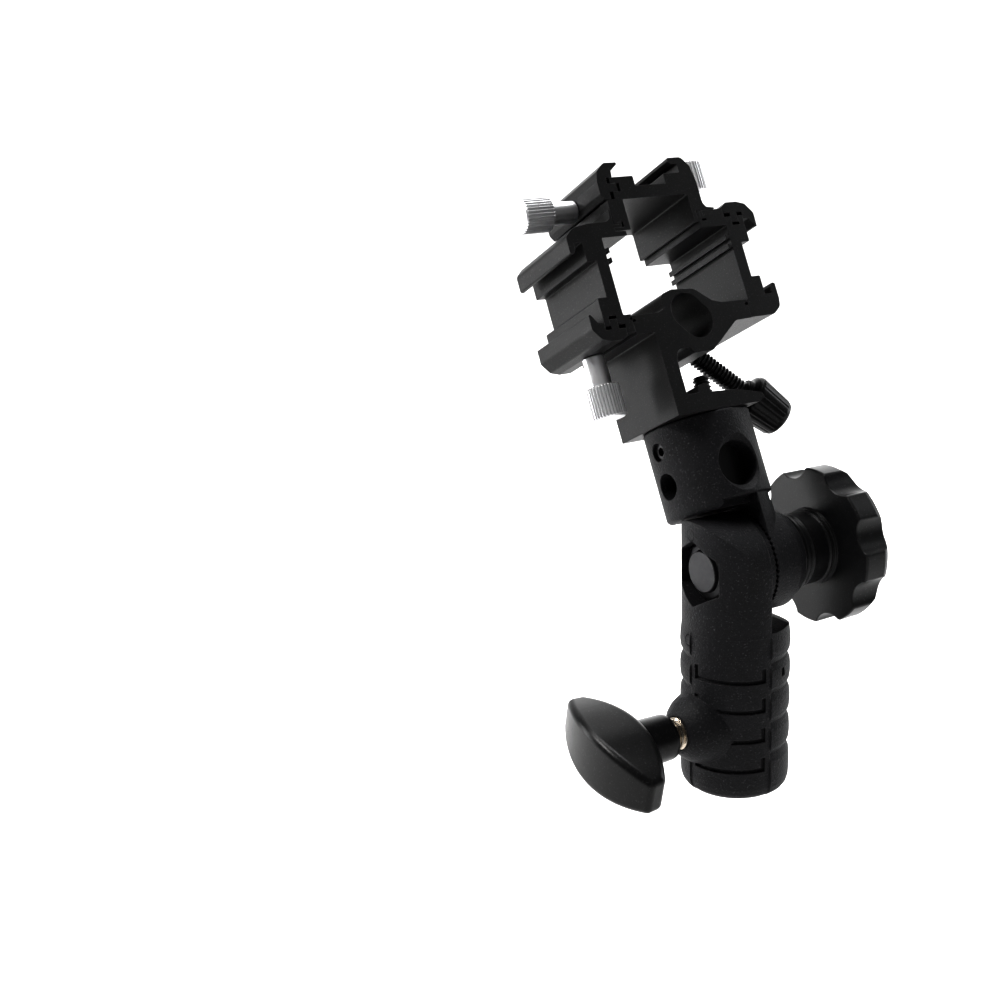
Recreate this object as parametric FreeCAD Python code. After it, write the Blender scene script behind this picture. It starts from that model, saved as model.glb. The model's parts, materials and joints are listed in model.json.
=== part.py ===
import FreeCAD, Part
import math
import os

# Umbrella and shoe bracket for a light stand. A stand socket with a T-screw carries a
# serrated swivel with a knob; the upper half leans over it and holds a foot rail with an
# umbrella bore and three clamp shoes.
# Frame: millimetres, +Z up along the stand socket, origin at the centre of the socket
# mouth, +X along the swivel pivot toward the knob.

os.makedirs("parts", exist_ok=True)
Vector = FreeCAD.Vector
ORIGIN = Vector(0, 0, 0)
X_AXIS, Y_AXIS, Z_AXIS = Vector(1, 0, 0), Vector(0, 1, 0), Vector(0, 0, 1)
MINUS_X, MINUS_Y, MINUS_Z = Vector(-1, 0, 0), Vector(0, -1, 0), Vector(0, 0, -1)

LIFT = 2.0              # heights are taken from a datum this far above the socket mouth

# ---- stand socket ----
SOCKET_R = 8.1
SOCKET_DEPTH = 33.0     # above the datum
BODY_R = 12.6           # smooth radius
BULGE_R = 13.0          # radius on the grip rings
NOTCH_R = 12.0          # radius in the grooves between rings
RING_GROOVES = [9.1, 17.0, 24.6, 32.1]   # heights of those grooves
BAND_ANGLES = (-135.5, 44.5)             # centres of the two smooth bands, degrees
BAND_HALF = 47.5        # half width of a band, degrees
U_HALF = 40.5           # half width of the U grooves on a band, degrees
U_HEIGHTS = (28.4, 21.0, 13.5, 5.9)
U_FLOOR_R = BODY_R - 0.75
PIVOT_Z = 53.5
LEDGE_Z = 39.8          # ledge under the swivel arm
TOP_R = 12.5            # rounded top, about the pivot axis

# ---- swivel joint ----
SIDE_X = 0.5            # flat side of the lower body around the serrated disc
DISC_R = 12.0           # serrated disc on the lower body
FACE_X = 2.4            # plane between the two serrated faces
LOWER, UPPER = 1, -1    # the half a serrated face belongs to
TOOTH_N = 60
TOOTH_H = 0.42
TOOTH_GAP = 0.05        # crest to plane, each side
TOOTH_LENGTH = {LOWER: 6.4, UPPER: 4.2}
TOOTH_INNER_R = 8.1
RELIEF_R = 8.6          # sunk centre of each serrated face
ARM_R = 12.2
ARM_SHOULDER_X = 9.4    # where the arm starts to taper
ARM_X = 12.4            # outer face of the arm
BOLT_R = 3.95           # M8 shank
BOLT_HOLE_R = 4.2
BOLT_AF = 13.0
BOLT_HEAD_H = 4.3
BOLT_THREAD_X = 12.0
HEX_AF = 13.9           # hexagon pocket across flats
HEX_FLOOR_X = -5.8
REST_TILT = 26.0        # lean of the upper half toward +Y, degrees
M8_PITCH = 1.25

# ---- collar, heights above the pivot ----
COLLAR_R = 12.8
COLLAR_BOT = 14.4
COLLAR_LOBE = 12.76     # underside of the lobe on the -X side
COLLAR_TOP = 35.0
CROSS_R = 5.3           # cross hole through the collar wall
CROSS_Z = 22.0
SPIGOT_R = 7.95
SPIGOT_HOLE_R = 8.0
SET_SCREW_Z = 29.4
HEAD_STUD_X = 5.0
HEAD_STUD_R = 2.1

# ---- knob ----
KNOB_R = 19.2
KNOB_LOBES = 8
SCALLOP_R, SCALLOP_C = 5.3, 22.0   # finger scallop radius, and its centre from the axis
KNOB_X0, KNOB_X1 = 23.2, 31.6      # ends of the lobed disc
HUB_R = 8.8
WASHER_X0, WASHER_X1 = 12.46, 14.2
INSERT_BORE_R = 4.02    # both threaded inserts

# ---- head. A shoe frame has x along its plate and z outward from the shoe square ----
EXT_L = 25.0            # length of every extrusion
OVERCUT = 2.0           # extra length of section cutters
HC_X, HC_Z = -2.5, 69.2 # centre of the shoe square, from the pivot
SHOE_TURN = {"left": -90, "top": 0, "right": 90}   # about Y, degrees
T_IN, T_REC, T_LEDGE = 18.0, 21.0, 23.5   # plate's inner face, recess floor, ledge
T_LIP0, T_LIP1 = 25.7, 27.3               # lip underside and top
SHOE_END = 8.7          # undercut end on the fixed side
LIP_TIP = 6.1
JAW_FOOT = 18.1         # step of the rail under the jaw
GUIDE0, GUIDE1 = 19.94, 22.06             # sides of the groove that guides the jaw
JAW_GAP = 0.06          # sliding clearance between jaw and rail
THUMB_T = 20.6          # clamp screw axis height on each shoe
THUMB_R = 2.68
THUMB_HEAD_R = 4.14
THUMB_HEAD_L = 7.8
THUMB_FLUTES = 32

# ---- T-screw of the stand socket, pointing to -X ----
TSCREW_Z = 14.7
TSCREW_R = 3.9          # M8 stud
TSCREW_BORE_X = -7.0    # inner end of its bores
TSCREW_TURN = 14.0      # handle turned about the stud, degrees

# ---- umbrella bore and its lock screw, from the pivot ----
BORE_CENTRE = Vector(-1.75, 0, 57.74)
BORE_ANGLE = -49.0      # long direction, from +X toward +Z
BORE_R, BORE_HALF = 4.45, 1.55     # end radius, half the straight length
LOCK_POINT = Vector(7.0, 0, 49.29) # on the screw axis, which crosses the bore's centre
LOCK_DIR = Vector(0.7193, 0, -0.6947)
LOCK_R = 2.4
M_PITCH = 1.0           # pitch of the lock screw and the head stud
LOCK_KNOB_X = 12.5      # along the axis from LOCK_POINT
LOCK_FLUTES = 18


# ---------- helpers ----------
def arc(start, middle, end):
    return Part.Arc(start, middle, end).toShape()


def polygon_face(points):
    return Part.Face(Part.makePolygon(points + points[:1]))


def rounded_wire(corners):
    """Closed wire in the XZ plane from (x, z[, fillet radius]) corners."""
    places = [Vector(c[0], 0, c[1]) for c in corners]
    count = len(corners)
    joints = []         # (start, end, fillet arc or None) at each corner
    for i, corner in enumerate(corners):
        place = places[i]
        if len(corner) < 3:
            joints.append((place, place, None))
            continue
        back = places[i - 1] - place
        ahead = places[(i + 1) % count] - place
        limit = 0.49 * min(back.Length, ahead.Length)
        back.normalize()
        ahead.normalize()
        half = back.getAngle(ahead) / 2
        setback = min(corner[2] / math.tan(half), limit)
        radius = setback * math.tan(half)
        inward = back + ahead
        inward.normalize()
        start, end = place + back * setback, place + ahead * setback
        middle = place + inward * (radius / math.sin(half) - radius)
        joints.append((start, end, arc(start, middle, end)))
    edges = []
    for i, (_, end, fillet) in enumerate(joints):
        if fillet is not None:
            edges.append(fillet)
        next_start = joints[(i + 1) % count][0]
        if end.distanceToPoint(next_start) > 1e-6:
            edges.append(Part.makeLine(end, next_start))
    return Part.Wire(edges)


def extrude_section(corners, length=EXT_L):
    """XZ section extruded along Y, centred on Y = 0."""
    face = Part.Face(rounded_wire(corners))
    face.translate(Vector(0, -length / 2, 0))
    return face.extrude(Vector(0, length, 0))


def rod(radius, length, x, z=0, along=X_AXIS):
    """Cylinder starting at (x, 0, z)."""
    return Part.makeCylinder(radius, length, Vector(x, 0, z), along)


def revolve_x(profile, z=0):
    """Solid of revolution about X from (x, r) corners, raised by z."""
    solid = polygon_face([Vector(x, r, 0) for x, r in profile]).revolve(ORIGIN, X_AXIS, 360)
    solid.translate(Vector(0, 0, z))
    return solid


def revolve_z(profile):
    """Solid of revolution about Z from (r, z) corners."""
    return polygon_face([Vector(r, 0, z) for r, z in profile]).revolve(ORIGIN, Z_AXIS, 360)


def thread_profile(x0, x1, radius, pitch, depth):
    """(x, r) outline of a ring-grooved stud."""
    root = radius - depth
    outline = [(x0, 0.0), (x0, root)]
    for i in range(int((x1 - x0) / pitch)):
        x = x0 + i * pitch
        outline += [(x + 0.12 * pitch, root), (x + 0.44 * pitch, radius),
                    (x + 0.56 * pitch, radius), (x + 0.88 * pitch, root)]
    return outline + [(x1, root), (x1, 0.0)]


def hexagon_x(across_flats, x0, x1, z=0):
    """Hexagonal prism along X with corners up and down."""
    corner_r = across_flats / math.sqrt(3)
    points = [Vector(x0, corner_r * math.sin(math.radians(60 * i)),
                     corner_r * math.cos(math.radians(60 * i))) for i in range(6)]
    prism = polygon_face(points).extrude(Vector(x1 - x0, 0, 0))
    prism.translate(Vector(0, 0, z))
    return prism


def export(shape, name):
    if len(shape.Solids) == 1:
        shape = shape.removeSplitter().Solids[0]
    shape.translate(Vector(0, 0, LIFT))
    shape.exportStep("parts/%s.step" % name)


def at_pivot(shape):
    """From the pivot frame to the stand, upright."""
    shape.translate(Vector(0, 0, PIVOT_Z))
    return shape


def upper(shape):
    """From the pivot frame to the stand, with the resting lean."""
    shape.rotate(ORIGIN, X_AXIS, -REST_TILT)
    return at_pivot(shape)


def place_shoe(shape, side):
    """From a shoe frame to the pivot frame."""
    shape.rotate(ORIGIN, Y_AXIS, SHOE_TURN[side])
    shape.translate(Vector(HC_X, 0, HC_Z))
    return shape


def place_lock(shape):
    """Lay a solid built along +X on the lock screw axis."""
    shape.rotate(ORIGIN, Y_AXIS, -math.degrees(math.atan2(LOCK_DIR.z, LOCK_DIR.x)))
    shape.translate(LOCK_POINT)
    return shape


def cut_serration(solid, half, z=0):
    """Sink the centre of a serrated face and cut its radial V grooves, about height z."""
    crest = FACE_X - half * TOOTH_GAP
    root = crest - half * TOOTH_H
    relief_depth = TOOTH_H + 0.1
    relief_x = min(crest, crest - half * relief_depth)
    solid = solid.cut(rod(RELIEF_R, relief_depth, relief_x, z))
    half_width = math.pi * ARM_R / TOOTH_N
    over_crest = crest + half * 0.02
    section = [Vector(root, -0.02, 0), Vector(root, 0.02, 0),
               Vector(over_crest, half_width, 0), Vector(over_crest, -half_width, 0)]
    # The upper grooves are turned half a tooth so that the faces mesh
    phase = 0.5 if half == UPPER else 0.0
    for i in range(TOOTH_N):
        groove = polygon_face(section).extrude(Vector(0, 0, TOOTH_LENGTH[half]))
        groove.translate(Vector(0, 0, TOOTH_INNER_R))
        groove.rotate(ORIGIN, X_AXIS, 360.0 / TOOTH_N * (i + phase))
        groove.translate(Vector(0, 0, z))
        solid = solid.cut(groove)
    return solid


# ---------- stand socket body ----------
def sector(centre, half):
    """Wedge about Z, between centre - half and centre + half degrees."""
    steps = 12
    points = [Vector(0, 0, -3)]
    for i in range(steps + 1):
        angle = math.radians(centre - half + 2 * half * i / steps)
        points.append(Vector(20 * math.cos(angle), 20 * math.sin(angle), -3))
    return polygon_face(points).extrude(Vector(0, 0, 42))


def ringed_body():
    profile = [(0, -LIFT), (9.4, -LIFT), (10.4, -1.93), (11.3, -1.65), (12.1, -1.05),
               (12.6, -0.3), (12.9, 0.8), (BULGE_R, 2.2), (BULGE_R, 5.4)]
    for z in RING_GROOVES:
        profile += [(BULGE_R - 0.12, z - 1.7), (NOTCH_R + 0.35, z - 0.5), (NOTCH_R, z),
                    (NOTCH_R + 0.35, z + 0.5), (BULGE_R - 0.12, z + 1.7), (BULGE_R, z + 3.0)]
        if z != RING_GROOVES[-1]:
            profile.append((BULGE_R, z + 4.6))
    profile += [(BULGE_R - 0.1, 37.2), (BODY_R + 0.1, 38.6), (BODY_R, LEDGE_Z),
                (BODY_R, LEDGE_Z + 30), (0, LEDGE_Z + 30)]
    return revolve_z(profile)


def smooth_body():
    return revolve_z([(0, -LIFT), (9.4, -LIFT), (10.3, -1.92), (11.1, -1.66), (11.85, -1.1),
                      (12.3, -0.4), (12.55, 0.9), (BODY_R, 2.3), (BODY_R, 70), (0, 70)])


def body_marks():
    """Cutters for the U grooves on the bands, two ejector marks and a small pocket."""
    cuts = []
    for centre in BAND_ANGLES:
        for height in U_HEIGHTS:
            z = height - 0.5
            ring = rod(14, 1.05, 0, z, Z_AXIS).cut(rod(U_FLOOR_R, 1.05, 0, z, Z_AXIS))
            cuts.append(ring.common(sector(centre, U_HALF)))
            for side in (-1, 1):
                leg = Part.makeBox(1.15, 3.0, 3.6, Vector(-0.575, U_FLOOR_R, z))
                leg.rotate(ORIGIN, Z_AXIS, centre + side * (U_HALF - 2.2) - 90)
                cuts.append(leg)
    mark_r, half_line = 1.35, 0.12
    for degrees, z in ((176.9, PIVOT_Z + 9.3), (174.5, PIVOT_Z - 16.6)):
        angle = math.radians(degrees)
        outward = Vector(math.cos(angle), math.sin(angle), 0)
        level = Vector(0, 0, z)
        disc = Part.makeCylinder(mark_r + half_line, 2,
                                 outward * (BODY_R - 0.12) + level, outward)
        cuts.append(disc.cut(Part.makeCylinder(mark_r - half_line, 3,
                                               outward * (BODY_R - 0.5) + level, outward)))
    pocket = Part.makeBox(1.4, 1.0, 2.0, Vector(-0.7, BULGE_R - 0.55, 28.3))
    pocket.rotate(ORIGIN, Z_AXIS, -70 - 90)
    cuts.append(pocket)
    return cuts


def build_socket_body():
    bands = [sector(centre, BAND_HALF) for centre in BAND_ANGLES]
    core = smooth_body()
    body = ringed_body()
    for band in bands:
        body = body.cut(band)
    for band in bands:
        body = body.fuse(core.common(band))
    for mark in body_marks():
        body = body.cut(mark)
    # rounded top about the pivot axis
    cap = Part.makeBox(60, 60, 40, Vector(-30, -30, PIVOT_Z))
    body = body.cut(cap.cut(rod(TOP_R, 60, -30, PIVOT_Z)))
    # flat beside the swivel arm, set back further around the serrated disc
    body = body.cut(Part.makeBox(30, 60, 60, Vector(FACE_X - TOOTH_GAP, -30, LEDGE_Z)))
    side = Part.makeBox(30, 60, 60, Vector(SIDE_X, -30, LEDGE_Z))
    body = body.cut(side.cut(rod(DISC_R, 40, -2, PIVOT_Z)))
    body = cut_serration(body, LOWER, PIVOT_Z)
    # the ledge falls away toward +X
    slope = Part.makeBox(20, 60, 10, Vector(0, -30, 0))
    slope.rotate(ORIGIN, Y_AXIS, 22)
    slope.translate(Vector(8.2, 0, LEDGE_Z))
    body = body.cut(slope)
    # T-screw boss
    body = body.fuse(revolve_x([
        (-3, 0), (-3, 9.4), (-8.0, 9.4), (-10.4, 9.15), (-12.4, 8.65), (-14.1, 7.9),
        (-15.5, 6.9), (-16.6, 5.8), (-17.3, 4.9), (-17.3, 0)], TSCREW_Z))
    # socket, T-screw bores, bolt head pocket and bolt hole
    body = body.cut(rod(SOCKET_R, SOCKET_DEPTH + 3, 0, -3, Z_AXIS))
    body = body.cut(rod(5.2, 7.5, TSCREW_BORE_X, TSCREW_Z, MINUS_X))
    body = body.cut(rod(4.15, 12, TSCREW_BORE_X, TSCREW_Z, MINUS_X))
    body = body.cut(hexagon_x(HEX_AF, -20, HEX_FLOOR_X, PIVOT_Z))
    return body.cut(rod(BOLT_HOLE_R, 40, -20, PIVOT_Z))


# ---------- T-screw ----------
def build_tscrew_insert():
    return revolve_x([
        (-14.4, INSERT_BORE_R), (-14.4, 4.75), (-14.0, 5.15), (-13.0, 5.15), (-12.8, 4.8),
        (-12.2, 4.8), (-12.0, 5.15), (-10.8, 5.15), (-10.6, 4.8), (-10.2, 4.8),
        (-10.0, 5.15), (-9.0, 5.15), (-9.0, INSERT_BORE_R)], TSCREW_Z)


def build_tscrew_stud():
    stud = revolve_x(thread_profile(-26.6, -10.35, TSCREW_R, M8_PITCH, 0.62), TSCREW_Z)
    return stud.cut(rod(1.3, 3.0, -10.3, TSCREW_Z, MINUS_X))


def build_tscrew_pad():
    return revolve_x([(-8.35, 0), (-8.35, 3.0), (-8.75, 3.5), (-10.3, 3.5), (-10.3, 1.2),
                      (-12.9, 1.2), (-13.1, 1.0), (-13.1, 0)], TSCREW_Z)


def build_tscrew_handle():
    """Wing along Y, thickest in the middle, on a hub along X."""
    reach = 17.5                    # hub axis to each end of the wing
    middle_half, end_half = 7.2, 3.9   # half height of the wing at its middle and ends
    outer_x, inner_x = -37.4, -33.4    # edges at the wing ends
    inner_reach = reach - 0.6
    outer0, outer1 = Vector(outer_x, -reach, 0), Vector(outer_x, reach, 0)
    inner0, inner1 = Vector(inner_x, -inner_reach, 0), Vector(inner_x, inner_reach, 0)
    outline = Part.Face(Part.Wire([
        arc(outer0, Vector(-42.5, 0, 0), outer1), Part.makeLine(outer1, inner1),
        arc(inner1, Vector(-28.4, 0, 0), inner0), Part.makeLine(inner0, outer0)]))
    outline.translate(Vector(0, 0, -15))
    slab = outline.extrude(Vector(0, 0, 30))
    x, y = -50, reach + 1
    top0, top1 = Vector(x, -y, end_half), Vector(x, y, end_half)
    low0, low1 = Vector(x, -y, -end_half), Vector(x, y, -end_half)
    taper = Part.Face(Part.Wire([
        arc(top0, Vector(x, 0, middle_half), top1), Part.makeLine(top1, low1),
        arc(low1, Vector(x, 0, -middle_half), low0), Part.makeLine(low0, top0)]))
    wing = slab.common(taper.extrude(Vector(30, 0, 0)))
    # Round every edge; a radius may fail, so try the smaller, then leave them sharp
    for radius in (1.75, 1.2):
        try:
            wing = wing.makeFillet(radius, wing.Edges)
            break
        except Exception:
            continue
    hub = revolve_x([(-33, 0), (-33, 6.3), (-30.0, 6.0), (-28.5, 5.75), (-21.1, 5.5),
                     (-20.3, 5.3), (-19.9, 4.9), (-19.8, 4.4), (-19.8, 0)])
    handle = wing.fuse(hub)
    handle.rotate(ORIGIN, X_AXIS, TSCREW_TURN)
    handle.translate(Vector(0, 0, TSCREW_Z))
    return handle.cut(rod(TSCREW_R, 7.0, -19.6, TSCREW_Z, MINUS_X))


# ---------- swivel hardware, pivot frame ----------
def build_pivot_bolt():
    x = HEX_FLOOR_X - BOLT_HEAD_H
    head = hexagon_x(BOLT_AF, x, HEX_FLOOR_X)
    head = head.common(revolve_x([
        (x, 0), (x, 4.7), (x + 0.15, 4.9), (x + 1.1, 5.1), (x + 1.3, 6.3), (x + 2.0, 7.6),
        (HEX_FLOOR_X, 7.6), (HEX_FLOOR_X, 0)]))
    shank = revolve_x([(HEX_FLOOR_X - 1, 0), (HEX_FLOOR_X - 1, BOLT_R),
                       (BOLT_THREAD_X, BOLT_R), (BOLT_THREAD_X, 0)])
    thread = revolve_x(thread_profile(BOLT_THREAD_X, 28.25, BOLT_R, M8_PITCH, 0.6))
    return head.fuse(shank).fuse(thread)


def build_washer():
    return revolve_x([(WASHER_X0, 4.3), (WASHER_X0, 8.9), (WASHER_X0 + 0.4, 9.4),
                      (WASHER_X1 - 0.5, 9.4), (WASHER_X1, 8.9), (WASHER_X1, 4.3)])


def build_knob():
    hub = revolve_x([
        (14.25, 0), (14.25, 9.0), (14.6, 9.3), (15.3, 9.3), (15.6, 8.75), (16.1, 8.75),
        (16.4, 9.05), (16.9, 9.05), (17.2, HUB_R), (21.3, HUB_R), (21.6, 9.15),
        (22.0, 9.15), (22.2, 8.8), (22.4, 8.8), (22.6, 9.3), (23.1, 9.4),
        (KNOB_X0 + 0.1, 9.4), (KNOB_X0 + 0.1, 0)])
    disc = revolve_x([
        (KNOB_X0, 0), (KNOB_X0, KNOB_R - 0.3), (KNOB_X0 + 0.3, KNOB_R),
        (KNOB_X1 - 2.6, KNOB_R - 0.1), (KNOB_X1 - 1.2, KNOB_R - 0.8),
        (KNOB_X1 - 0.4, KNOB_R - 2.0), (KNOB_X1, KNOB_R - 3.6), (KNOB_X1, 0)])
    for i in range(KNOB_LOBES):
        angle = math.radians(25 + 360.0 / KNOB_LOBES * i)
        centre = Vector(KNOB_X0 - 5, SCALLOP_C * math.cos(angle), SCALLOP_C * math.sin(angle))
        disc = disc.cut(Part.makeCylinder(SCALLOP_R, 20, centre, X_AXIS))
    # round the ridges between scallop and lobe: nearly straight curves along X
    ridges = [edge for edge in disc.Edges
              if 4.0 < edge.BoundBox.XLength < 7.0
              and edge.BoundBox.YLength < 0.2 and edge.BoundBox.ZLength < 0.2
              and edge.Curve.TypeId != "Part::GeomLine"]
    disc = disc.makeFillet(0.7, ridges)
    # shallow dish around a raised centre
    disc = disc.cut(revolve_x([(KNOB_X1 - 1.0, 7.4), (KNOB_X1 - 1.0, 12.6),
                               (KNOB_X1 + 1, 13.8), (KNOB_X1 + 1, 6.6)]))
    knob = hub.fuse(disc)
    knob = knob.cut(rod(5.4, 12.2, 14.0))
    return knob.cut(rod(4.3, 16, 13.0))


def build_knob_insert():
    return revolve_x([(15.0, INSERT_BORE_R), (15.0, 5.4), (19.0, 5.4), (19.2, 5.05),
                      (20.0, 5.05), (20.2, 5.4), (26.2, 5.4), (26.2, INSERT_BORE_R)])


# ---------- swivel arm, collar and what they hold, pivot frame ----------
def build_collar_lobe():
    lobe = rod(COLLAR_R, COLLAR_BOT - COLLAR_LOBE + 1, 0, COLLAR_LOBE, Z_AXIS)
    lobe = lobe.common(Part.makeBox(20, 40, 30, Vector(-26.6, -20, 0)))
    # Round the lower edges; they stay sharp if the fillet cannot be built
    try:
        low = [edge for edge in lobe.Edges if abs(edge.BoundBox.ZMax - COLLAR_LOBE) < 1e-6]
        return lobe.makeFillet(1.2, low)
    except Exception:
        return lobe


def build_upper_swivel():
    crest = FACE_X + TOOTH_GAP
    arm = revolve_x([(crest, 0), (crest, ARM_R), (ARM_SHOULDER_X, ARM_R), (ARM_X, 10.6),
                     (ARM_X, 0)])
    # shank from the arm up to the collar, within the collar's plan circle
    shank = Part.makeBox(ARM_SHOULDER_X - crest, 2 * 11.9, 14.6, Vector(crest, -11.9, 0))
    shank = shank.common(rod(COLLAR_R - 0.7, 20, 0, 0, Z_AXIS))
    shank = shank.cut(Part.makeBox(6, 40, 2.3, Vector(7.6, -20, 12.2)))
    collar = revolve_z([
        (0, COLLAR_BOT), (COLLAR_R - 0.35, COLLAR_BOT), (COLLAR_R, COLLAR_BOT + 0.35),
        (COLLAR_R, COLLAR_TOP - 0.5), (COLLAR_R - 0.5, COLLAR_TOP), (0, COLLAR_TOP)])
    seat = Part.makeBox(crest + 8, 17.0, 2.5, Vector(-7, -8.5, COLLAR_LOBE))
    body = arm.fuse(shank).fuse(collar).fuse(build_collar_lobe()).fuse(seat)
    body = cut_serration(body, UPPER)
    # clear the lower half's rounded top
    body = body.cut(rod(TOP_R + 0.2, 40, crest - 40))
    body = body.cut(rod(BOLT_HOLE_R, 30, -5))
    # spigot socket, cross hole with a flared -Y mouth, lock hole, set screw hole
    body = body.cut(rod(SPIGOT_HOLE_R, 40, 0, 16.4, Z_AXIS))
    body = body.cut(Part.makeCylinder(CROSS_R, 40, Vector(0, 20, CROSS_Z), MINUS_Y))
    body = body.cut(Part.makeCone(CROSS_R + 1.6, CROSS_R, 1.6,
                                  Vector(0, -COLLAR_R - 0.1, CROSS_Z), Y_AXIS))
    body = body.cut(rod(3.15, 20, 0, 21.0, MINUS_X))
    return body.cut(rod(2.15, 20, 0, SET_SCREW_Z, MINUS_X))


def build_spigot():
    spigot = revolve_z([(0, 16.5), (SPIGOT_R - 0.6, 16.5), (SPIGOT_R, 17.1),
                        (SPIGOT_R, 34.4), (SPIGOT_R - 0.6, 34.97), (0, 34.97)])
    spigot = spigot.cut(rod(2.0, 9.0, HEAD_STUD_X, 36, MINUS_Z))
    # seat for the set screw tip
    return spigot.cut(Part.makeCone(0.9, 1.6, 0.8, Vector(-SPIGOT_R + 0.75, 0, SET_SCREW_Z),
                                    MINUS_X))


def build_set_screw():
    screw = revolve_x([(-7.5, 0), (-7.5, 0.8), (-8.3, 1.75), (-8.6, 2.1), (-11.6, 2.1),
                       (-11.8, 1.9), (-11.8, 0)], SET_SCREW_Z)
    return screw.cut(hexagon_x(2.0, -12.0, -9.8, SET_SCREW_Z))


def build_head_stud():
    """Upright stud, threaded above and plain where it sits in the spigot."""
    stud = revolve_x(thread_profile(27.2, 45.6, HEAD_STUD_R, M_PITCH, 0.42))
    stud.rotate(ORIGIN, Y_AXIS, -90)
    stud.translate(Vector(HEAD_STUD_X, 0, 0))
    core = rod(1.9, 8.2, HEAD_STUD_X, 27.05, Z_AXIS)
    trim = rod(4, 8.1, HEAD_STUD_X, 26.9, Z_AXIS).cut(rod(1.92, 9, HEAD_STUD_X, 26.8, Z_AXIS))
    return stud.cut(trim).fuse(core)


# ---------- shoes; section corners are (x, z[, fillet radius]) ----------
def build_rib(x):
    """Small T-shaped rib hanging from the plate's inner face."""
    z = T_IN
    return extrude_section([
        (x - 0.35, z + 0.2), (x - 0.35, z - 0.75), (x - 0.6, z - 0.8), (x - 0.6, z - 1.2),
        (x + 0.6, z - 1.2), (x + 0.6, z - 0.8), (x + 0.35, z - 0.75), (x + 0.35, z + 0.2)])


def build_shoe_rail(side):
    leg_end = 15.95 if side == "left" else 10.5
    # leg, jaw guide groove, recess, fixed undercut and lip
    section = [
        (-9.4, leg_end), (-13.6, leg_end), (-13.6, JAW_FOOT), (-11.4, JAW_FOOT),
        (-11.4, GUIDE0), (-9.2, GUIDE0), (-9.2, GUIDE1), (-11.5, GUIDE1),
        (-11.5, T_LEDGE, 0.25), (-4.8, T_LEDGE, 0.35), (-4.8, T_REC, 0.25),
        (4.0, T_REC, 0.25), (4.0, T_LEDGE, 0.25), (SHOE_END, T_LEDGE, 0.3),
        (SHOE_END, T_LIP0, 0.3), (LIP_TIP + 0.9, T_LIP0 + 0.1, 0.2),
        (LIP_TIP, T_LIP0 + 0.75, 0.25), (LIP_TIP + 0.2, T_LIP1, 0.4), (10.2, T_LIP1, 1.6)]
    if side == "right":
        section += [(12.2, 26.9, 1.9), (13.9, 24.6, 2.2), (13.9, 17.6, 0.3), (9.4, 17.6),
                    (9.4, T_IN)]
    else:
        # the +x end runs down to a hooked bead
        section += [
            (12.2, 25.0, 1.8), (12.9, 20.5, 3.0), (12.9, 15.6, 1.6), (13.5, 14.4, 0.9),
            (15.8, 14.05, 0.3), (15.8, 13.75), (12.0, 13.75), (12.0, 12.35), (12.55, 12.35),
            (12.55, 11.55), (11.35, 11.55), (11.35, 13.75), (10.35, 13.75),
            (10.35, 10.9, 0.2), (9.2, 10.9, 0.2), (9.2, T_IN, 0.4)]
    section.append((-9.4, T_IN, 0.4))
    rail = extrude_section(section)
    if side != "left":
        # groove in the leg end that holds the neighbour's hooked bead
        rail = rail.cut(extrude_section([
            (-13.75, 11.28), (-12.42, 11.28), (-11.0, 11.28), (-11.0, 12.65),
            (-12.42, 12.65), (-12.42, 12.07), (-13.75, 12.07)], EXT_L + OVERCUT))
    for x in {"left": (6.2, 3.8), "top": (), "right": (-6.4, -4.1)}[side]:
        rail = rail.fuse(build_rib(x))
    if side == "left":
        # small notch in the leg end
        rail = rail.cut(extrude_section([(-10.9, 15.6), (-10.9, 16.5), (-10.1, 16.5),
                                         (-10.1, 15.6)], EXT_L + OVERCUT))
    # clamp screw hole
    rail = rail.cut(rod(1.56, 10.0, -15.3, THUMB_T))
    return place_shoe(rail, side)


def build_jaw(side):
    foot = JAW_FOOT + JAW_GAP + 0.1
    guide0, guide1 = GUIDE0 + JAW_GAP, GUIDE1 - JAW_GAP
    ledge = T_LEDGE + JAW_GAP
    jaw = extrude_section([
        (-12.35, foot, 0.2), (-12.35, guide0), (-10.0, guide0), (-10.0, guide1),
        (-12.35, guide1), (-12.35, ledge), (-10.6, ledge, 0.1), (-10.45, 25.1, 0.25),
        (-8.5, 26.5, 0.15), (-8.35, 27.05, 0.15), (-11.9, 27.15, 1.4), (-14.3, 25.2, 1.0),
        (-15.0, 22.8, 1.0), (-15.0, 19.6, 0.6), (-14.1, foot, 0.4)])
    jaw = jaw.cut(rod(1.62, 12, -20, THUMB_T))
    return place_shoe(jaw, side)


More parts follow.
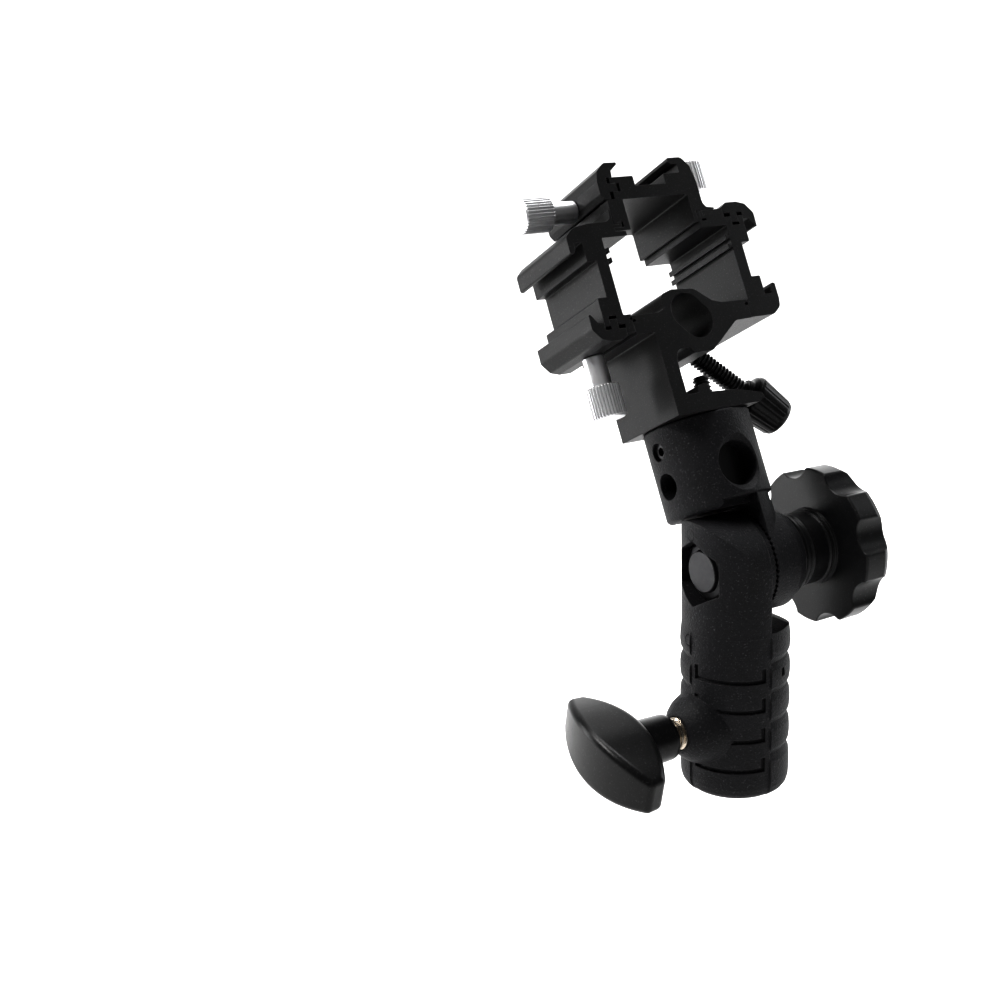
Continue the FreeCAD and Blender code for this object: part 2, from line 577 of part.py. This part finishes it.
def build_thumbscrew(side):
    """Clamp screw: fluted head at the -x end, collar against the jaw, thin thread."""
    head_x, jaw_x, end_x = -22.3, -15.05, -6.3
    tip_x = head_x - THUMB_HEAD_L
    collar = revolve_x([(jaw_x, 0), (jaw_x, THUMB_R - 0.25), (jaw_x - 0.25, THUMB_R),
                        (head_x - 0.1, THUMB_R), (head_x - 0.1, 0)])
    head = revolve_x([(head_x, 0), (head_x, THUMB_HEAD_R - 0.35),
                      (head_x - 0.35, THUMB_HEAD_R), (tip_x + 0.45, THUMB_HEAD_R),
                      (tip_x, THUMB_HEAD_R - 0.5), (tip_x, 0)])
    for i in range(THUMB_FLUTES):
        flute = Part.makeBox(THUMB_HEAD_L + 2, 0.42, 0.42, Vector(tip_x - 1, -0.21, -0.21))
        flute.rotate(ORIGIN, X_AXIS, 45)
        flute.translate(Vector(0, THUMB_HEAD_R, 0))
        flute.rotate(ORIGIN, X_AXIS, 360.0 * i / THUMB_FLUTES)
        head = head.cut(flute)
    pitch = 0.5
    turns = int((end_x - jaw_x) / pitch)
    thread = revolve_x(thread_profile(end_x - turns * pitch, end_x, 1.5, pitch, 0.25))
    core = revolve_x([(jaw_x - 0.5, 0), (jaw_x - 0.5, 1.25), (end_x - 1, 1.25),
                      (end_x - 1, 0)])
    screw = collar.fuse(head).fuse(thread).fuse(core)
    screw.translate(Vector(0, 0, THUMB_T))
    return place_shoe(screw, side)


# ---------- foot rail, pivot frame ----------
def umbrella_bore():
    """Obround cutter along Y."""
    angle = math.radians(BORE_ANGLE)
    along = Vector(math.cos(angle), 0, math.sin(angle))
    across = Vector(-along.z, 0, along.x) * BORE_R
    ahead, behind = BORE_CENTRE + along * BORE_HALF, BORE_CENTRE - along * BORE_HALF
    face = Part.Face(Part.Wire([
        Part.makeLine(ahead + across, behind + across),
        arc(behind + across, behind - along * BORE_R, behind - across),
        Part.makeLine(behind - across, ahead - across),
        arc(ahead - across, ahead + along * BORE_R, ahead + across)]))
    face.translate(Vector(0, -EXT_L, 0))
    return face.extrude(Vector(0, 2 * EXT_L, 0))


def build_foot_rail():
    left, right = HC_X - 15.85, HC_X + 17.5
    rail = extrude_section([
        (left, 59.4), (-10.9, 59.4, 0.8), (-9.1, 60.0, 0.8), (-9.1, 63.4, 1.8),
        (-5.6, 64.4, 2.0), (0.6, 64.0, 3.0), (5.0, 60.6, 1.5), (7.6, 59.9, 1.5),
        (right, 59.75), (right, 55.2), (10.2, 55.1, 2.4), (4.6, 51.0, 2.5),
        (1.4, 48.8, 1.2), (-4.0, 48.8, 0.4), (-5.0, 50.2, 1.4), (-8.4, 50.2, 1.6),
        (-9.4, 47.8, 0.6), (-9.4, 39.4, 0.4), (-6.0, 39.4, 0.2), (-5.6, 41.1, 0.5),
        (-3.1, 41.4, 0.6), (-2.6, 39.2, 0.3), (4.4, 38.8, 3.0), (11.6, 37.1, 0.9),
        (12.3, 36.0, 0.7), (10.4, COLLAR_TOP, 1.0), (-13.2, COLLAR_TOP, 0.2),
        (-13.2, 54.9, 0.3), (left, 54.9)])
    rail = rail.cut(umbrella_bore())
    # lock screw hole into the bore, and head stud hole
    rail = rail.cut(Part.makeCylinder(LOCK_R + 0.1, 30, LOCK_POINT - LOCK_DIR * 9, LOCK_DIR))
    rail = rail.cut(rod(HEAD_STUD_R + 0.06, 12, HEAD_STUD_X, 33, Z_AXIS))
    # small slots near both ends
    for x0, x1, z0, z1 in ((14.2, 15.2, 58.4, 59.15), (-18.5, -17.5, 57.9, 58.6)):
        rail = rail.cut(extrude_section([(x0, z0), (x1, z0), (x1, z1), (x0, z1)],
                                        EXT_L + OVERCUT))
    return rail


# ---------- umbrella lock screw, built along +X ----------
def build_lock_stud():
    stud = revolve_x(thread_profile(-5.15, 18.6, LOCK_R, M_PITCH, 0.5))
    return place_lock(stud.cut(rod(0.9, 2.6, -5.2)))


def build_lock_pad():
    return place_lock(revolve_x([(-6.2, 0), (-6.2, 1.7), (-5.9, 2.0), (-5.2, 2.0),
                                 (-5.2, 0.82), (-3.0, 0.82), (-3.0, 0)]))


def build_lock_knob():
    knob = revolve_x([
        (12.6, 0), (12.6, 3.2), (13.0, 3.45), (13.8, 3.6), (14.2, 5.0), (14.7, 5.55),
        (15.4, 5.8), (23.6, 5.0), (24.6, 4.6), (25.1, 3.9), (25.1, 0)])
    # flutes that follow the taper
    for i in range(LOCK_FLUTES):
        flute = rod(0.6, 16, LOCK_KNOB_X)
        flute.rotate(Vector(LOCK_KNOB_X, 0, 0), Y_AXIS, 5.6)
        flute.translate(Vector(0, 0, 6.55))
        flute.rotate(ORIGIN, X_AXIS, 360.0 * i / LOCK_FLUTES)
        knob = knob.cut(flute)
    # dished end and stud hole
    knob = knob.cut(revolve_x([(24.4, 0), (24.4, 3.0), (26.0, 3.3), (26.0, 0)]))
    return place_lock(knob.cut(rod(LOCK_R, 6.1, LOCK_KNOB_X)))


# ---------- build and write ----------
export(build_socket_body(), "stand_socket_body")
export(build_tscrew_insert(), "tscrew_insert")
export(build_tscrew_stud(), "tscrew_stud")
export(build_tscrew_pad(), "tscrew_pad")
export(build_tscrew_handle(), "tscrew_handle")
export(at_pivot(build_pivot_bolt()), "pivot_bolt")
export(at_pivot(build_washer()), "knob_washer")
export(at_pivot(build_knob()), "swivel_knob")
export(at_pivot(build_knob_insert()), "knob_insert")
export(upper(build_upper_swivel()), "upper_swivel")
export(upper(build_spigot()), "spigot")
export(upper(build_set_screw()), "spigot_set_screw")
export(upper(build_head_stud()), "head_stud")
export(upper(build_foot_rail()), "foot_rail")
for side in SHOE_TURN:
    export(upper(build_shoe_rail(side)), side + "_shoe_rail")
    export(upper(build_jaw(side)), side + "_jaw")
    export(upper(build_thumbscrew(side)), side + "_thumbscrew")
export(upper(build_lock_stud()), "umbrella_stud")
export(upper(build_lock_pad()), "umbrella_pad")
export(upper(build_lock_knob()), "umbrella_knob")
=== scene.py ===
# A small assembly of black plastic, anodised aluminium, steel, brass and nylon parts,
# loaded as CAD pieces, given materials and set in a white studio. Metres, +Z up.
# It is centred near the origin, and its extrusions slope down towards +Y.
# The camera stands on the -X, -Y side and looks slightly down.
import bpy
import json
import math
from mathutils import Vector, Matrix

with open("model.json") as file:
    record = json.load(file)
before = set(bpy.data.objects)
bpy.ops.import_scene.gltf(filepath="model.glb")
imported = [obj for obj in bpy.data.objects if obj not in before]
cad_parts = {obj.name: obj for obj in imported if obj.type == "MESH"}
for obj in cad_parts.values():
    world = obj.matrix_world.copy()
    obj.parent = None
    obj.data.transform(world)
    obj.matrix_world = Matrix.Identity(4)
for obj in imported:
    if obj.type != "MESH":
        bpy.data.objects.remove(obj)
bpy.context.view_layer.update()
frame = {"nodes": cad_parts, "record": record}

scene = bpy.context.scene

EXTRUSION_SLOPE = math.radians(26.0)    # below horizontal, towards +Y
SMOOTH_LIMIT = math.radians(32)         # steeper edges are shaded sharp

WHITE = (1, 1, 1)
# colour of the painted highlight specks that stand in for glints on the grain
GLINT_SPECK_COLOUR = (0.16, 0.16, 0.165)

CENTRE = Vector((0.0, 0.02, 0.072))     # the point the lights aim at
# camera axes
FORWARD = Vector((0.472, 0.8382, -0.2732))
RIGHT = Vector((0.8651, -0.5, -0.0394))
UP = Vector((0.1697, 0.2177, 0.9611))
CAMERA_PLACE = Vector((-0.2008, -0.2447, 0.162))


# ---------------------------------------------------------- shader helpers ----
def feed(tree, socket, value):
    """Link a socket into an input, or set the input to a plain value."""
    if isinstance(value, bpy.types.NodeSocket):
        tree.links.new(value, socket)
    else:
        socket.default_value = value


def add_node(tree, kind, inputs=None, **settings):
    node = tree.nodes.new("ShaderNode" + kind)
    for setting, value in settings.items():
        setattr(node, setting, value)
    for key, value in (inputs or {}).items():
        feed(tree, node.inputs[key], value)
    return node


def mapping(tree, vector=None, scale=(1, 1, 1), rotation=(0, 0, 0)):
    """Turned and scaled coordinates, the object's own unless a vector is given."""
    if vector is None:
        vector = add_node(tree, "TexCoord").outputs["Object"]
    inputs = {"Vector": vector, "Scale": scale, "Rotation": rotation}
    return add_node(tree, "Mapping", inputs).outputs["Vector"]


def noise(tree, vector, scale, detail=3.0, roughness=0.55):
    inputs = {"Vector": vector, "Scale": scale, "Detail": detail, "Roughness": roughness}
    return add_node(tree, "TexNoise", inputs).outputs["Fac"]


def ramp(tree, factor, low, high):
    """Blend between two stops, each a position and an RGB colour or a grey level."""
    node = add_node(tree, "ValToRGB", {"Fac": factor})
    for element, (position, colour) in zip(node.color_ramp.elements, (low, high)):
        element.position = position
        rgb = colour if isinstance(colour, tuple) else (colour,) * 3
        element.color = (*rgb, 1)
    return node.outputs["Color"]


def calculate(tree, operation, first, second, clamp=False):
    node = add_node(tree, "Math", {0: first, 1: second}, operation=operation, use_clamp=clamp)
    return node.outputs[0]


def mix_in(tree, mask, under, rgb):
    """Lay a plain colour over another where the mask is 1."""
    # inputs 0, 6 and 7 are the factor and the two colours of an RGBA mix
    return add_node(tree, "Mix", {0: mask, 6: under, 7: (*rgb, 1)}, data_type="RGBA").outputs[2]


def rounded_normal(tree, radius, samples):
    return add_node(tree, "Bevel", {"Radius": radius}, samples=samples).outputs["Normal"]


def edge_mask(tree, radius):
    """0 on flats, 1 on sharp edges."""
    rounded = rounded_normal(tree, radius, samples=4)
    true_normal = add_node(tree, "NewGeometry").outputs["Normal"]
    likeness = add_node(tree, "VectorMath", {0: rounded, 1: true_normal},
                        operation="DOT_PRODUCT").outputs["Value"]
    turn = calculate(tree, "SUBTRACT", 1.0, likeness)
    limits = {"From Min": 0.02, "From Max": 0.25}
    return add_node(tree, "MapRange", {"Value": turn, **limits}).outputs["Result"]


def new_material(name):
    material = bpy.data.materials.new(name)
    material.use_nodes = True
    tree = material.node_tree
    return material, tree, tree.nodes["Principled BSDF"]


# --------------------------------------------------------- product surfaces ----
def surface_colour(tree, plain, grain, light, dark, wear, glint_specks):
    """Broad tone drift plus fine grain, then worn edges and painted highlight specks that stand in
    for glints on the grain.
    """
    broad = noise(tree, plain, scale=90.0, detail=4.0)
    fine = noise(tree, grain, scale=900.0)
    broad_part = calculate(tree, "MULTIPLY", broad, 0.65)
    fine_part = calculate(tree, "MULTIPLY", fine, 0.35)
    tone = calculate(tree, "ADD", broad_part, fine_part)
    colour = ramp(tree, tone, (0.28, dark), (0.72, light))
    if wear:
        width, worn_colour = wear
        edges = edge_mask(tree, width)
        patches = ramp(tree, noise(tree, plain, scale=260.0, detail=5.0), (0.42, 0.0), (0.62, 1.0))
        colour = mix_in(tree, calculate(tree, "MULTIPLY", edges, patches), colour, worn_colour)
    # light specks painted into the colour: painted highlights standing in for glints on the grain
    if glint_specks:
        specks = noise(tree, plain, scale=2200.0, detail=2.0, roughness=0.7)
        colour = mix_in(tree, ramp(tree, specks, (0.60, 0.0), (0.70, glint_specks)), colour, GLINT_SPECK_COLOUR)
    return colour


def surface_roughness(tree, grain, middle, spread, scratches):
    variation = calculate(tree, "MULTIPLY", noise(tree, grain, scale=330.0, detail=5.0), spread)
    roughness = calculate(tree, "ADD", variation, middle - spread / 2)
    if scratches:
        # thin streaks along X
        streaks = noise(tree, mapping(tree, scale=(40, 900, 900)), scale=1.4, detail=2.0)
        marks = ramp(tree, streaks, (0.64, 0.0), (0.69, scratches))
        roughness = calculate(tree, "ADD", roughness, marks, clamp=True)
    return roughness


def surface_normal(tree, plain, grain, rounding, relief):
    """Softly rounded edges with each layer of relief laid over them."""
    normal = rounded_normal(tree, rounding, samples=6)
    for pattern, scale, depth, strength in relief:
        if pattern == "cells":
            height = add_node(tree, "TexVoronoi", {"Vector": plain, "Scale": scale},
                              feature="SMOOTH_F1").outputs["Distance"]
        elif pattern == "grain":
            height = noise(tree, grain, scale, detail=2.0)
        else:
            height = noise(tree, plain, scale, detail=4.0, roughness=0.65)
        normal = add_node(tree, "Bump", {"Distance": depth, "Strength": strength,
                                         "Height": height, "Normal": normal}).outputs["Normal"]
    return normal


def surface(name, light, dark, metallic, roughness, spread, relief, rounding, wear=None,
            specular=0.5, glint_specks=0.0, scratches=0.0, anisotropic=0.0,
            stretch=(1, 1, 1), turn=None):
    """A product material.

    light, dark: the two ends of the tone    spread: range of the roughness
    relief: layers of (pattern, scale, depth, strength)
    rounding: radius of the softened edges   wear: (width, colour) of worn edges
    glint_specks: strength of the painted highlight specks   scratches: strength of the marks   turn, stretch: direction of the grain
    """
    material, tree, shader = new_material(name)
    plain = mapping(tree, rotation=turn or (0, 0, 0))
    # the grain is turned first and stretched after, so that it follows sloping parts
    grain = mapping(tree, plain if turn else None, scale=stretch)
    inputs = {
        "Base Color": surface_colour(tree, plain, grain, light, dark, wear, glint_specks),
        "Metallic": metallic,
        "Specular IOR Level": specular,
        "Coat Roughness": 0.1,
        "Anisotropic": anisotropic,
        "Roughness": surface_roughness(tree, grain, roughness, spread, scratches),
        "Normal": surface_normal(tree, plain, grain, rounding, relief),
    }
    for key, value in inputs.items():
        feed(tree, shader.inputs[key], value)
    return material


# material slot: material
MATERIALS = {
    # matt glass-filled nylon with a spark-eroded mould texture
    "nylon": surface(
        "nylon_textured", light=(0.012, 0.012, 0.0142), dark=(0.006, 0.006, 0.007),
        metallic=0.0, roughness=0.56, spread=0.10, specular=0.20, rounding=0.00035, glint_specks=0.25,
        relief=[("cells", 2400.0, 0.00012, 0.85), ("noise", 5200.0, 0.00007, 0.7),
                ("noise", 160.0, 0.0002, 0.12)],
        wear=(0.0004, (0.035, 0.035, 0.036))),
    "handle_plastic": surface(
        "handle_satin", light=(0.005, 0.005, 0.0055), dark=(0.003, 0.003, 0.0033),
        metallic=0.0, roughness=0.30, spread=0.08, specular=0.22, rounding=0.0005,
        glint_specks=0.12, scratches=0.06,
        relief=[("noise", 3800.0, 0.00002, 0.35), ("noise", 120.0, 0.0003, 0.10)]),
    "knob_plastic": surface(
        "knob_satin", light=(0.007, 0.007, 0.008), dark=(0.004, 0.004, 0.0045),
        metallic=0.0, roughness=0.34, spread=0.10, specular=0.28, rounding=0.0005,
        glint_specks=0.15, scratches=0.05,
        relief=[("noise", 3600.0, 0.00003, 0.4), ("noise", 140.0, 0.0003, 0.10)],
        wear=(0.0004, (0.03, 0.03, 0.03))),
    # black anodised extrusion: die lines run along the length
    "anodised": surface(
        "anodised_black", light=(0.015, 0.015, 0.0155), dark=(0.009, 0.009, 0.0095),
        metallic=0.25, roughness=0.42, spread=0.10, specular=0.24, rounding=0.00012, glint_specks=0.2,
        relief=[("grain", 900.0, 0.00004, 0.45), ("noise", 4800.0, 0.00004, 0.6)],
        wear=(0.00016, (0.09, 0.09, 0.094)),
        stretch=(9.0, 0.12, 9.0), turn=(EXTRUSION_SLOPE, 0, 0)),
    "bright_aluminium": surface(
        "aluminium_turned", light=(0.90, 0.90, 0.91), dark=(0.74, 0.74, 0.76),
        metallic=0.86, roughness=0.34, spread=0.12, rounding=0.0001, anisotropic=0.3,
        relief=[("noise", 2400.0, 0.00002, 0.3), ("noise", 700.0, 0.00003, 0.2)]),
    "nickel_steel": surface(
        "nickel_thread", light=(0.56, 0.50, 0.42), dark=(0.36, 0.32, 0.27),
        metallic=1.0, roughness=0.24, spread=0.10, rounding=0.00008,
        relief=[("noise", 3000.0, 0.00001, 0.25)]),
    "zinc_steel": surface(
        "bolt_dark_zinc", light=(0.045, 0.045, 0.047), dark=(0.025, 0.025, 0.027),
        metallic=0.8, roughness=0.42, spread=0.16, rounding=0.0002,
        relief=[("noise", 2600.0, 0.00003, 0.35), ("noise", 500.0, 0.00006, 0.2)],
        wear=(0.0003, (0.3, 0.3, 0.3))),
    "black_steel": surface(
        "black_oxide", light=(0.05, 0.05, 0.052), dark=(0.025, 0.025, 0.027),
        metallic=0.7, roughness=0.36, spread=0.12, rounding=0.00008,
        relief=[("noise", 2800.0, 0.00002, 0.3)], wear=(0.00015, (0.14, 0.13, 0.12))),
    "spigot_metal": surface(
        "spigot_plated", light=(0.014, 0.014, 0.015), dark=(0.008, 0.008, 0.009),
        metallic=0.3, roughness=0.45, spread=0.10, rounding=0.0002,
        relief=[("noise", 1800.0, 0.00003, 0.25)]),
    "washer_black": surface(
        "washer_smooth", light=(0.02, 0.02, 0.02), dark=(0.012, 0.012, 0.012),
        metallic=0.0, roughness=0.25, spread=0.08, rounding=0.0002,
        relief=[("noise", 2600.0, 0.00002, 0.3)]),
    "brass": surface(
        "brass_turned", light=(0.80, 0.60, 0.30), dark=(0.58, 0.40, 0.18),
        metallic=1.0, roughness=0.28, spread=0.12, rounding=0.0001,
        relief=[("noise", 2200.0, 0.00002, 0.3)]),
    "pad_nylon": surface(
        "pad_natural", light=(0.72, 0.71, 0.66), dark=(0.60, 0.59, 0.54),
        metallic=0.0, roughness=0.42, spread=0.10, rounding=0.0002,
        relief=[("noise", 2600.0, 0.00003, 0.4)]),
}


def dress_pieces():
    slots = {part["node"]: part["material_slot"] for part in frame["record"]["subparts"]}
    for name, piece in frame["nodes"].items():
        piece.data.materials.clear()
        piece.data.materials.append(MATERIALS[slots[name]])
        for polygon in piece.data.polygons:
            polygon.use_smooth = True
        piece.modifiers.new("edge_split", "EDGE_SPLIT").split_angle = SMOOTH_LIMIT


# ------------------------------------------------------------------- stage ----
def paper(name, level, roughness):
    """Pale paper with a faint, broad drift in tone."""
    material, tree, shader = new_material(name)
    drift = noise(tree, mapping(tree), scale=6.0, detail=4.0)
    feed(tree, shader.inputs["Base Color"],
         ramp(tree, drift, (0.3, level * 0.985), (0.7, level)))
    shader.inputs["Roughness"].default_value = roughness
    return material


def floor_sweep(half_width, depth, floor_z, height, radius, arc_steps, heading, material):
    """Floor that curves up into a backdrop, facing the camera."""
    profile = [(-depth, floor_z)]    # (y, z)
    for i in range(arc_steps + 1):
        angle = math.pi / 2 * i / arc_steps
        profile.append((depth - radius + radius * math.sin(angle),
                        floor_z + radius - radius * math.cos(angle)))
    profile.append((depth, floor_z + height))
    count = len(profile)
    verts = [(x, y, z) for x in (-half_width, half_width) for y, z in profile]
    faces = [(i, i + 1, count + i + 1, count + i) for i in range(count - 1)]
    mesh = bpy.data.meshes.new("floor_sweep")
    mesh.from_pydata(verts, [], faces)
    for polygon in mesh.polygons:
        polygon.use_smooth = True
    floor = bpy.data.objects.new("floor_sweep", mesh)
    scene.collection.objects.link(floor)
    mesh.materials.append(material)
    floor.rotation_euler = (0, 0, heading)


# ------------------------------------------------------------------ lights ----
def area(name, place, power, width, height=None, colour=WHITE, target=CENTRE):
    light = bpy.data.lights.new(name, "AREA")
    light.energy = power
    light.color = colour
    light.shape = "RECTANGLE"
    light.size = width
    light.size_y = height or width
    lamp = bpy.data.objects.new(name, light)
    lamp.location = place
    lamp.rotation_euler = (Vector(target) - Vector(place)).to_track_quat("-Z", "Y").to_euler()
    lamp.visible_camera = False
    scene.collection.objects.link(lamp)


def seen(right, up, beyond):
    """A place measured from the object's middle, as the camera sees it."""
    return CENTRE + RIGHT * right + UP * up + FORWARD * beyond


def add_lights():
    area("key_left", seen(-0.80, 0.70, -0.35), power=13.0, width=0.40, colour=(1.0, 0.99, 0.97))
    area("top_soft", seen(0.1, 1.1, 0.15), power=7.0, width=0.7)
    area("rim_right", seen(0.85, 0.25, 0.25), power=5.5, width=0.4, height=1.0,
         colour=(0.98, 0.99, 1.0))
    area("front_fill", seen(0.35, 0.0, -1.1), power=1.0, width=0.8)
    area("left_strip", seen(-0.8, 0.0, 0.25), power=6.5, width=0.16, height=1.0)
    area("back_fill", seen(0.25, 0.50, 1.0), power=4.0, width=0.8)
    # the paper behind the object gets its own light, so that it stays white
    area("paper_wash", (-0.1, 0.9, 2.6), power=130.0, width=2.0, target=(1.5, 2.9, 0.7))


def add_world(ambient, backdrop):
    """Dim white light all round, and a bright white for the camera itself."""
    world = bpy.data.worlds.new("studio")
    scene.world = world
    world.use_nodes = True
    tree = world.node_tree
    dim = tree.nodes["Background"]
    dim.inputs["Color"].default_value = (*WHITE, 1)
    dim.inputs["Strength"].default_value = ambient
    bright = add_node(tree, "Background", {"Color": (*WHITE, 1), "Strength": backdrop})
    camera_ray = add_node(tree, "LightPath").outputs["Is Camera Ray"]
    mix = add_node(tree, "MixShader", {0: camera_ray, 1: dim.outputs[0], 2: bright.outputs[0]})
    tree.links.new(mix.outputs[0], tree.nodes["World Output"].inputs["Surface"])


def add_camera():
    lens = bpy.data.cameras.new("cam")
    lens.sensor_width = 36.0    # mm
    lens.lens = 50.4            # mm
    lens.shift_x = 0.0009
    lens.clip_start = 0.01
    camera = bpy.data.objects.new("cam", lens)
    axes = Matrix((RIGHT, UP, -FORWARD)).transposed()
    camera.matrix_world = Matrix.Translation(CAMERA_PLACE) @ axes.to_4x4()
    scene.collection.objects.link(camera)
    scene.camera = camera


dress_pieces()
floor_sweep(half_width=6.0, depth=3.0, floor_z=-0.115, height=5.0, radius=1.6, arc_steps=16,
            heading=math.radians(-29.4), material=paper("paper_pale", level=0.86, roughness=0.9))
add_lights()
add_world(ambient=0.13, backdrop=1.1)
add_camera()
scene.view_settings.view_transform = "Standard"
scene.view_settings.look = "None"
scene.view_settings.gamma = 0.75
